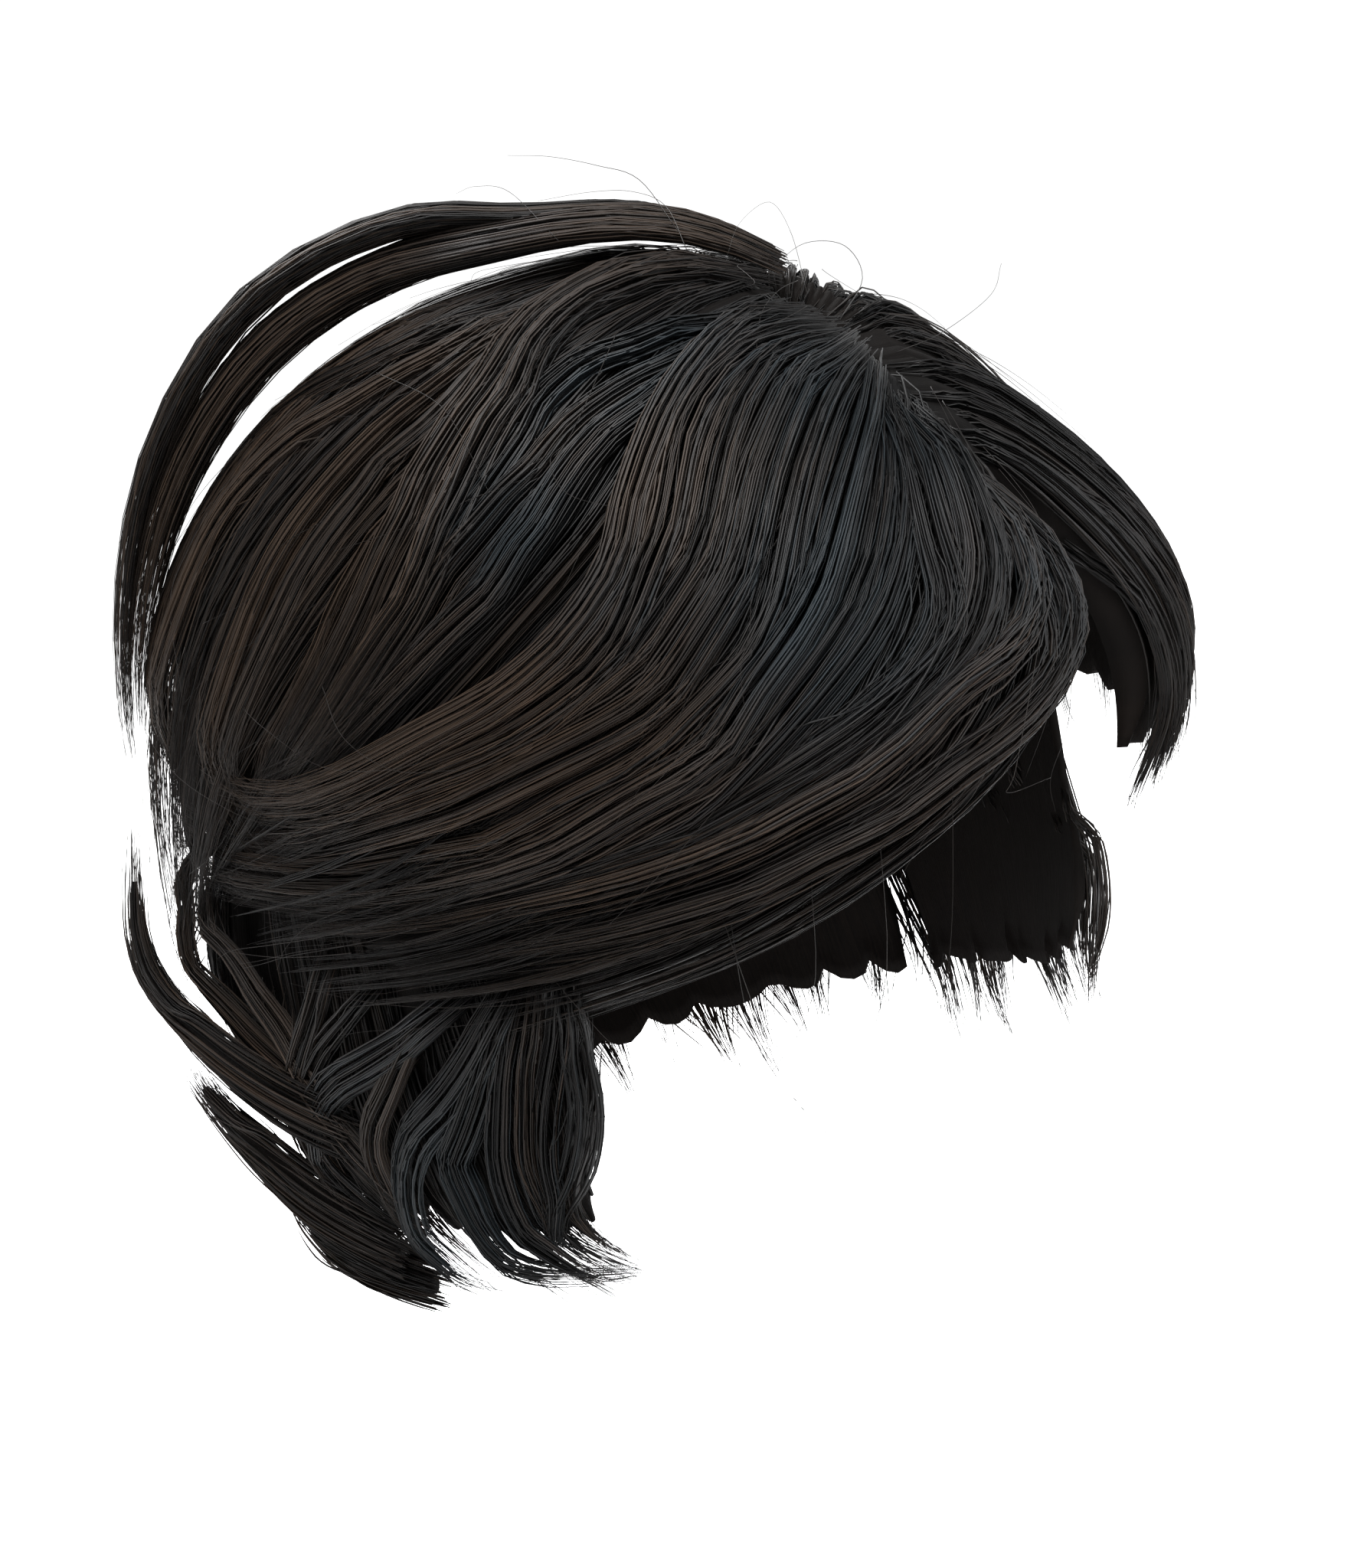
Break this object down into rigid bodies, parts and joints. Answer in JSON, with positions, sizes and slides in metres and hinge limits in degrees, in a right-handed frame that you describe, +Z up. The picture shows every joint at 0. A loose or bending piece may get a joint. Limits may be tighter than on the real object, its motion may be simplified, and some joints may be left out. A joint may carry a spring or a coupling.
{
  "type": "wig",
  "caption": "Short layered wig in its worn shape: a fitted cap under swept, side-parted hair sections, two raised locks and flicked nape tufts, with an open head hollow.",
  "frame": {"origin": "inside top of the cap, where the crown of the wearer's head bears on it", "axes": "+Z up the wearer's head, -Y the way the wearer faces, +X to the wearer's left; the head enters along -Z"},
  "size_m": [0.1901, 0.2221, 0.2155],
  "materials": {
    "cap_mesh": "black stretch mesh with rows of sewn hair wefts, matt",
    "hair_dark": "near-black synthetic hair fibre, satin sheen along the strands with a cool blue-grey cast",
    "hair_brown": "black synthetic hair fibre mixed with dark warm brown strands, satin sheen along the strands"
  },
  "bodies": {
    "root": {"cap": "cap_mesh", "crown_hair": "hair_dark", "fringe": "hair_brown", "left_fringe": "hair_dark", "left_side_hair": "hair_brown", "right_sideburn": "hair_dark", "left_sideburn": "hair_dark", "nape_hair": "hair_dark", "raised_lock_upper": "hair_dark", "raised_lock_lower": "hair_brown", "nape_flick_upper": "hair_dark", "nape_flick_middle": "hair_brown", "nape_flick_lower": "hair_dark"}
  },
  "joints": []
}
